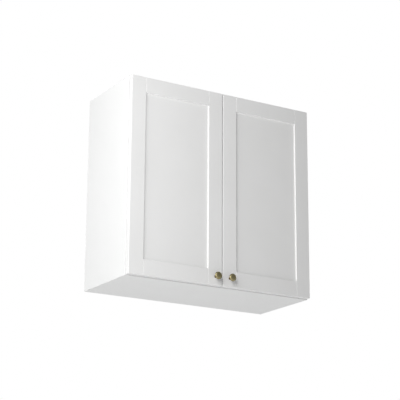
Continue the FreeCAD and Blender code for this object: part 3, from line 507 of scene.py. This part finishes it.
def cast_zinc():
    """Dull die-cast metal with small pits."""
    finish = new_finish("CastZinc", (0.46, 0.46, 0.45), 0.55, 1.0)
    drive(finish, "Base Color", shade(finish, noise(finish, 350.0, 4.0), CAST_SHADES))
    drive(finish, "Roughness", spread(finish, noise(finish, 700.0), 0.48, 0.64))
    relief(finish, cells(finish, 900.0), 0.00005, 0.5)
    return finish


nickel = plated("HingeNickel", ((0.68, 0.66, 0.62), (0.58, 0.56, 0.53)), 0.27, 900.0, (1, 0.12, 1))
zinc = plated("ZincPlate", ((0.62, 0.65, 0.68), (0.66, 0.64, 0.55)), 0.36, 1200.0, (1, 1, 0.3))
casting = cast_zinc()
print("metals:", nickel.name, zinc.name, casting.name)

# %% [markdown]
# Plastics and wood. The hanger covers are moulded in white plastic with a fine spark-eroded grain. The
# door bumpers are soft and clear, so light goes through them and they pick up the white behind. The
# dowels are beech, with short dark flecks along the stick. They hide inside the joints, but a pulled
# apart cabinet shows them.

# %% Plastics and wood
DARKER_SHADE = 0.97
BEECH_SHADES = ((0.62, 0.45, 0.28), (0.76, 0.58, 0.38))
FLECK_COLOUR = (0.40, 0.26, 0.15)


def moulded_plastic(name, colour):
    """White moulding with a fine even grain."""
    finish = new_finish(name, colour, 0.48)
    darker = tuple(part * DARKER_SHADE for part in colour)
    drive(finish, "Base Color", shade(finish, noise(finish, 30.0), (darker, colour)))
    drive(finish, "Roughness", spread(finish, noise(finish, 120.0, 3.0), 0.42, 0.55))
    relief(finish, cells(finish, 2200.0), 0.00003, 0.5)
    return finish


def clear_bumper():
    """Soft clear plastic, slightly frosted."""
    finish = new_finish("ClearBumper", (0.88, 0.88, 0.86), 0.22, Transmission_Weight=0.6, IOR=1.49)
    drive(finish, "Roughness", spread(finish, noise(finish, 800.0, 3.0), 0.16, 0.32))
    relief(finish, noise(finish, 500.0), 0.00003, 0.4)
    return finish


def beech():
    """Pale wood with short dark flecks along the stick."""
    finish = new_finish("BeechDowel", (0.70, 0.52, 0.33), 0.6)
    grain = noise(finish, 700.0, 4.0, (0.12, 1, 1))
    flecks = spread(finish, noise(finish, 1500.0, 2.0, (0.08, 1, 1)), 0.0, 0.5, 0.6, 0.75)
    pale = shade(finish, grain, BEECH_SHADES)
    drive(finish, "Base Color", blend(finish, flecks, pale, FLECK_COLOUR))
    drive(finish, "Roughness", spread(finish, grain, 0.55, 0.7))
    relief(finish, grain, 0.0001, 0.5)
    return finish


dowel_wood = beech()
print(dowel_wood.name, len(dowel_wood.node_tree.nodes), "nodes")

# %% [markdown]
# The frame's pieces already have the right shape, so most of them only need their finish. Each piece
# names the material it is made of, and that name picks the finish. Only the shelves are an exception,
# with the board's second finish.

# %% Finishes on the frame
FINISHES = {
    # the material's name in the frame: its finish
    "carcass_board": board_foil,
    "back_board": back_board,
    "door_lacquer": lacquer,
    "aged_brass": brass,
    "hinge_nickel": nickel,
    "pin_steel": nickel,
    "screw_steel": zinc,
    "zinc_steel": zinc,
    "cam_zinc": casting,
    "dowel_wood": dowel_wood,
    "housing_plastic": moulded_plastic("HangerHousing", (0.80, 0.80, 0.78)),
    "cover_plastic": moulded_plastic("HangerCover", (0.86, 0.86, 0.85)),
    "bumper_plastic": clear_bumper(),
}
SLOT_OF = {entry["node"]: entry["material_slot"] for entry in frame["record"]["subparts"]}


def put_finish(piece, finish):
    """Give every material slot of a piece the same finish."""
    if not piece.material_slots:
        piece.data.materials.append(finish)
    for place in piece.material_slots:
        place.material = finish


for name, slot in SLOT_OF.items():
    put_finish(frame["nodes"][name], FINISHES[slot])
for name in ("lower_shelf", "upper_shelf"):
    put_finish(frame["nodes"][name], shelf_foil)
print("finished", len(SLOT_OF), "pieces of the frame")

# %% [markdown]
# Fittings that the eye meets close up get a finer shape than the frame's. They all start the same way:
# a mesh made in code, put in place and told which body it moves with, while the piece of the frame it
# stands for is hidden. The body is read from the piece it replaces, so a door's fitting swings with
# its door.

# %% Placing a new piece
def body_of(node_name):
    """The moving body that a piece of the frame belongs to."""
    bodies = frame["record"]["behaviour"]["bodies"]
    return next(body for body, members in bodies.items() if node_name in members)


def new_object(name, form):
    """An object made from a built form, with every face turned outwards."""
    mesh = bpy.data.meshes.new(name)
    bmesh.ops.recalc_face_normals(form, faces=form.faces)
    form.to_mesh(mesh)
    form.free()
    thing = bpy.data.objects.new(name, mesh)
    scene.collection.objects.link(thing)
    return thing


def add_piece(name, form, stands_for):
    """A smooth piece with the finish of the frame piece it stands for."""
    piece = new_object(name, form)
    for face in piece.data.polygons:
        face.use_smooth = True
    put_finish(piece, FINISHES[SLOT_OF[stands_for]])
    return piece


def seat(piece, stands_for):
    """Let a placed piece ride on the body of the frame piece it stands for, and hide that piece."""
    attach(piece, body_of(stands_for))
    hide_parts(stands_for)


print("the left knob moves with", body_of("left_knob"))

# %% [markdown]
# One piece of the frame can hold several like solids, such as all the screws of a row. Each solid is
# found as an island: a set of corners that edges join to each other and to nothing else. Its box says
# where a finer screw or bumper belongs, so no place is typed in by hand.

# %% Finding separate solids
WELD_DISTANCE = 1e-6


def frame_form(node_name):
    """An editable copy of a frame piece's mesh, with doubled corners joined."""
    form = bmesh.new()
    form.from_mesh(frame["nodes"][node_name].data)
    bmesh.ops.remove_doubles(form, verts=form.verts, dist=WELD_DISTANCE)
    return form


def islands(node_name):
    """The lowest and highest corner of each separate solid of a frame piece."""
    form = frame_form(node_name)
    unseen, boxes = set(form.verts), []
    while unseen:
        open_ends, island = [unseen.pop()], []
        while open_ends:
            corner = open_ends.pop()
            island.append(corner.co.copy())
            linked = {edge.other_vert(corner) for edge in corner.link_edges} & unseen
            unseen -= linked
            open_ends += linked
        boxes.append(tuple(Vector(pick(place[side] for place in island) for side in range(3))
                           for pick in (min, max)))
    form.free()
    return sorted(boxes, key=lambda box: (round(box[0].x, 4), round(box[0].y, 4), box[0].z))


def merge(form, other):
    """Add one built form to another."""
    mesh = bpy.data.meshes.new("merging")
    other.to_mesh(mesh)
    other.free()
    form.from_mesh(mesh)
    bpy.data.meshes.remove(mesh)


print("dowels have", len(islands("dowels")), "solids")

# %% [markdown]
# Knobs, bumpers and screw heads are all round, so one lathe makes them. It turns an outline of radius
# and height round local Z, ring by ring, as a turner's tool does. Where the outline meets the axis,
# the ring closes to a point. Blender has a screw modifier for this, but a few lines of mesh code leave
# no seam to weld.

# %% A lathe
LATHE_SIDES = 40


def ring(form, radius, height, sides):
    """A ring of points round local Z, or one point where the radius is nil."""
    if radius == 0:
        return [form.verts.new((0, 0, height))]
    return [form.verts.new((radius * math.cos(turn), radius * math.sin(turn), height))
            for turn in (math.tau * step / sides for step in range(sides))]


def skin(form, below, above):
    """Faces between two rings, or between a ring and a point."""
    sides = max(len(below), len(above))
    for step in range(sides):
        after = (step + 1) % sides
        corners = [below[step % len(below)], below[after % len(below)],
                   above[after % len(above)], above[step % len(above)]]
        form.faces.new(list(dict.fromkeys(corners)))


def lathe(form, outline, sides=LATHE_SIDES):
    """Turn an outline of (radius, height) points in millimetres round local Z."""
    rings = [ring(form, radius * MILLIMETRE, height * MILLIMETRE, sides)
             for radius, height in outline]
    for below, above in zip(rings, rings[1:]):
        skin(form, below, above)


print("lathe turns", LATHE_SIDES, "sides")

# %% [markdown]
# The knobs are turned from bar: a small foot on the door, a waisted neck for the fingertips and a
# round head with a soft shoulder and a slightly domed face. The outline below is a loose cage, and a
# subdivision surface draws the smooth curve through it, so a few points for each bend are enough. The
# foot starts a hair inside the door, as a seated foot leaves no gap.

# %% Knobs
KNOB_CAGE = [
    # radius and distance from the door, in millimetres
    (0, -0.3), (3.8, -0.3), (4.6, -0.2), (4.7, 0.9), (4.3, 1.8), (3.7, 2.6), (3.4, 4.5),
    (3.4, 10.5), (3.9, 13.2), (6.6, 16.6), (11.0, 18.9), (13.4, 19.7), (13.8, 20.9),
    (13.5, 22.8), (11.6, 25.0), (7.8, 26.0), (3.6, 26.25), (0, 26.3),
]
KNOB_SUBDIVISIONS = 2
FACING_FRONT = Matrix.Rotation(math.radians(90), 4, "X")


def add_knob(side):
    """A turned knob whose foot stands on the door's face."""
    node_name = f"{side}_knob"
    low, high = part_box(node_name)
    form = bmesh.new()
    lathe(form, KNOB_CAGE)
    knob = add_piece(f"{side}_turned_knob", form, node_name)
    smooth = knob.modifiers.new("Turned", "SUBSURF")
    smooth.levels = smooth.render_levels = KNOB_SUBDIVISIONS
    foot = Vector(((low.x + high.x) / 2, high.y, (low.z + high.z) / 2))
    knob.matrix_world = Matrix.Translation(foot) @ FACING_FRONT
    seat(knob, node_name)
    return knob


for side in ("left", "right"):
    knob = add_knob(side)
    print(knob.name, [round(size * 1000, 1) for size in knob.dimensions])

# %% [markdown]
# Bumpers are small clear domes that stop a door from knocking on the box. They are stamped from a
# sheet, so the base is flat and the dome is a shallow cap. A half sphere would be too tall, so the
# outline is a flattened arc that reaches just the height the gap allows.

# %% Bumpers
DOME_STEPS = 8
DOME_RIM = 1 / 4


def dome_outline(radius, height):
    """A flat base, a short upright rim and a flattened arc over it."""
    rim = height * DOME_RIM
    outline = [(0, 0), (radius, 0)]
    for step in range(DOME_STEPS):
        turn = math.pi / 2 * step / DOME_STEPS
        outline.append((radius * math.cos(turn), rim + (height - rim) * math.sin(turn)))
    return outline + [(0, height)]


def add_bumpers(side):
    """Both bumpers of one door, on its rear face."""
    node_name = f"{side}_bumpers"
    form = bmesh.new()
    for low, high in islands(node_name):
        pad = bmesh.new()
        size = (high - low) / MILLIMETRE
        lathe(pad, dome_outline(size.x / 2, size.y))
        base = Vector(((low.x + high.x) / 2, low.y, (low.z + high.z) / 2))
        pad.transform(Matrix.Translation(base) @ FACING_FRONT.inverted())
        merge(form, pad)
    pads = add_piece(f"{side}_bumper_domes", form, node_name)
    seat(pads, node_name)
    return pads


for side in ("left", "right"):
    print(add_bumpers(side).name)

# %% [markdown]
# A screw's head is a low dome with a cross recess. On the real screw a punch presses the recess, and
# here a tapered cross is cut from the turned head with a boolean, which leaves the same sloping walls.
# A dark cross painted on would look flat as soon as the light moved. Each kind of head is cut once and
# copied to every screw of its kind.

# %% Screw heads
# a head's radius and height, in millimetres
PAN_HEAD = (3.3, 1.8)
FLAT_HEAD = (3.3, 0.9)
MACHINE_HEAD = (4.0, 1.8)
HEAD_SIDES = 36
HEAD_STEPS = 6
HEAD_RIM = 0.35
HEAD_CURVE = 0.6
SEAT_WIDTH = 0.94
SEAT_BEVEL = 0.1
RECESS_REACH = 0.58
RECESS_ARM = 0.17
RECESS_TAPER = 0.45
RECESS_ARM_TAPER = 0.7
RECESS_DEPTH = 0.75
CUTTER_HEIGHT = 1.2


def head_outline(radius, height):
    """A flat seat with a small bevel, a short upright rim and a low dome."""
    rim = HEAD_RIM * height
    outline = [(0, 0), (radius * SEAT_WIDTH, 0), (radius, SEAT_BEVEL * height)]
    for step in range(HEAD_STEPS):
        turn = math.pi / 2 * step / HEAD_STEPS
        outline.append((radius * math.cos(turn) ** HEAD_CURVE, rim + (height - rim) * math.sin(turn)))
    return outline + [(0, height)]


def cross_outline(reach, arm, height):
    """The twelve corners of a cross, at one height."""
    quarter = [(reach, -arm), (reach, arm), (arm, arm)]
    corners = []
    for turn in range(4):
        cos, sin = round(math.cos(turn * math.pi / 2)), round(math.sin(turn * math.pi / 2))
        corners += [(x * cos - y * sin, x * sin + y * cos, height) for x, y in quarter]
    return [tuple(part * MILLIMETRE for part in corner) for corner in corners]


def recess_cutter(radius, height):
    """A cross that tapers into the head."""
    form = bmesh.new()
    reach, arm = RECESS_REACH * radius, RECESS_ARM * radius
    small = [form.verts.new(place) for place in cross_outline(
        reach * RECESS_TAPER, arm * RECESS_ARM_TAPER, height * (1 - RECESS_DEPTH))]
    large = [form.verts.new(place) for place in cross_outline(reach, arm, height * CUTTER_HEIGHT)]
    skin(form, small, large)
    form.faces.new(small)
    form.faces.new(large)
    return form


def cut_head(radius, height):
    """The mesh of a head with its cross recess cut out."""
    form = bmesh.new()
    lathe(form, head_outline(radius, height), HEAD_SIDES)
    head = new_object("head", form)
    cutter = new_object("cutter", recess_cutter(radius, height))
    cut = head.modifiers.new("Recess", "BOOLEAN")
    cut.operation, cut.solver, cut.object = "DIFFERENCE", "EXACT", cutter
    shape = bpy.data.meshes.new_from_object(head.evaluated_get(
        bpy.context.evaluated_depsgraph_get()))
    for helper in (head, cutter):
        mesh = helper.data
        bpy.data.objects.remove(helper)
        bpy.data.meshes.remove(mesh)
    return shape


HEADS = {size: cut_head(*size) for size in (PAN_HEAD, FLAT_HEAD, MACHINE_HEAD)}
print("heads have", [len(head.polygons) for head in HEADS.values()], "faces")

# %% [markdown]
# The thread winds from the head to the tip. It is a formula: the radius rises and falls with a
# sawtooth that moves on by one pitch for each turn, so the ridge is a true helix. Stacked rings would
# be easier, but rings don't climb, and the eye sees it. A wood screw's thread narrows to a tip, and a
# machine screw's ends flat.

# %% Threads
# a thread's outer radius, its pitch and the length of its tapered tip, in millimetres
WOOD_THREAD = (1.75, 1.4, 3.0)
MACHINE_THREAD = (2.0, 0.7, 0)
THREAD_SIDES = 16
STEPS_PER_PITCH = 4
THREAD_CORE = 0.72
TIP_WIDTH = 0.08


def thread(form, length, outer, pitch, tip):
    """A helical thread from the seat down to -length, with a tapered tip."""
    core = outer * THREAD_CORE
    rows = int(length / pitch * STEPS_PER_PITCH)
    rings = []
    for row in range(rows + 1):
        down = length * row / rows
        narrow = min(1.0, (length - down) / tip) if tip else 1.0
        places = []
        for step in range(THREAD_SIDES):
            share = (down / pitch - step / THREAD_SIDES) % 1.0
            radius = (core + (outer - core) * (1 - abs(2 * share - 1))) * max(narrow, TIP_WIDTH)
            turn = math.tau * step / THREAD_SIDES
            places.append(form.verts.new((radius * math.cos(turn) * MILLIMETRE,
                                          radius * math.sin(turn) * MILLIMETRE,
                                          -down * MILLIMETRE)))
        rings.append(places)
    for above, below in zip(rings, rings[1:]):
        skin(form, above, below)
    form.faces.new(rings[0])
    form.faces.new(rings[-1])


print("a wood screw's core is", round(WOOD_THREAD[0] * THREAD_CORE, 2), "mm in radius")

# %% [markdown]
# Whole screws. Every plain screw of the frame is replaced where it stands: its box gives the length,
# and the way its head faces follows from what it holds. Plate and hanger screws are driven from inside
# the cabinet into its sides, and cup and knob screws from behind into the doors.

# %% Whole screws
SCREW_SHARP_ANGLE = math.radians(35)


def towards_middle(place):
    """From a side panel towards the middle of the cabinet."""
    return Vector((-math.copysign(1, place.x), 0, 0))


def backwards(place):
    """From a door towards the wall."""
    return Vector((0, 1, 0))


def one_screw(low, high, head_size, thread_size, direction):
    """A screw that fills a box, with its head at the end that a direction points to."""
    head_height = head_size[1]
    axis = max(range(3), key=lambda side: abs(direction[side]))
    top = high[axis] if direction[axis] > 0 else low[axis]
    seat_at = (low + high) / 2
    seat_at[axis] = top - direction[axis] * head_height * MILLIMETRE
    length = (high[axis] - low[axis]) / MILLIMETRE - head_height
    form = bmesh.new()
    form.from_mesh(HEADS[head_size])
    thread(form, length, *thread_size)
    aim = direction.to_track_quat("Z", "Y").to_matrix().to_4x4()
    form.transform(Matrix.Translation(seat_at) @ aim)
    return form


def add_screws(node_name, head_size, thread_size, outward):
    """Replace a group of plain screws with modelled ones."""
    form = bmesh.new()
    for low, high in islands(node_name):
        direction = outward((low + high) / 2)
        merge(form, one_screw(low, high, head_size, thread_size, direction))
    screws = add_piece(f"{node_name}_threaded", form, node_name)
    screws.data.set_sharp_from_angle(angle=SCREW_SHARP_ANGLE)
    seat(screws, node_name)
    return screws


for name in ("plate_screws", "hanger_screws"):
    print(add_screws(name, PAN_HEAD, WOOD_THREAD, towards_middle).name)
for side in ("left", "right"):
    print(add_screws(f"{side}_cup_screws", FLAT_HEAD, WOOD_THREAD, backwards).name)
    print(add_screws(f"{side}_knob_screw", MACHINE_HEAD, MACHINE_THREAD, backwards).name)

# %% [markdown]
# The hinges, pins and hangers are pressed, cast or moulded, so none of their edges is knife-sharp. The
# frame has their exact shapes. Each is copied, its flat faces are joined up, and a small bevel rounds
# every edge. A few tenths of a millimetre are enough to catch a line of light, which is what makes a
# small metal part look real. The copy replaces the frame's piece and rides on the same body.

# %% Softened fittings
SOFTENED = {
    # part of the piece's name: bevel in millimetres
    "hinge_plate": 0.35,
    "hinge_arm": 0.3,
    "hinge_cup": 0.15,
    "hanger_cover": 0.3,
    "hanger_housing": 0.4,
    "hanger_hook": 0.5,
    "shelf_pins": 0.25,
    "cam_housings": 0.2,
}
SHARP_ANGLE = math.radians(32)
FLAT_ANGLE = math.radians(0.5)
BEVEL_SEGMENTS = 2


def soften(node_name, width):
    """A copy of a frame piece with every sharp edge rounded."""
    form = frame_form(node_name)
    bmesh.ops.dissolve_limit(form, angle_limit=FLAT_ANGLE, verts=form.verts, edges=form.edges)
    piece = add_piece(f"{node_name}_softened", form, node_name)
    piece.data.set_sharp_from_angle(angle=SHARP_ANGLE)
    bevel = piece.modifiers.new("Edges", "BEVEL")
    bevel.width = width * MILLIMETRE
    bevel.segments = BEVEL_SEGMENTS
    bevel.limit_method = "ANGLE"
    bevel.angle_limit = SHARP_ANGLE
    bevel.harden_normals = True
    seat(piece, node_name)
    return piece


softened = []
for name in sorted(frame["nodes"]):
    for part, width in SOFTENED.items():
        if part in name:
            softened.append(soften(name, width))
print("softened", len(softened), "fittings")
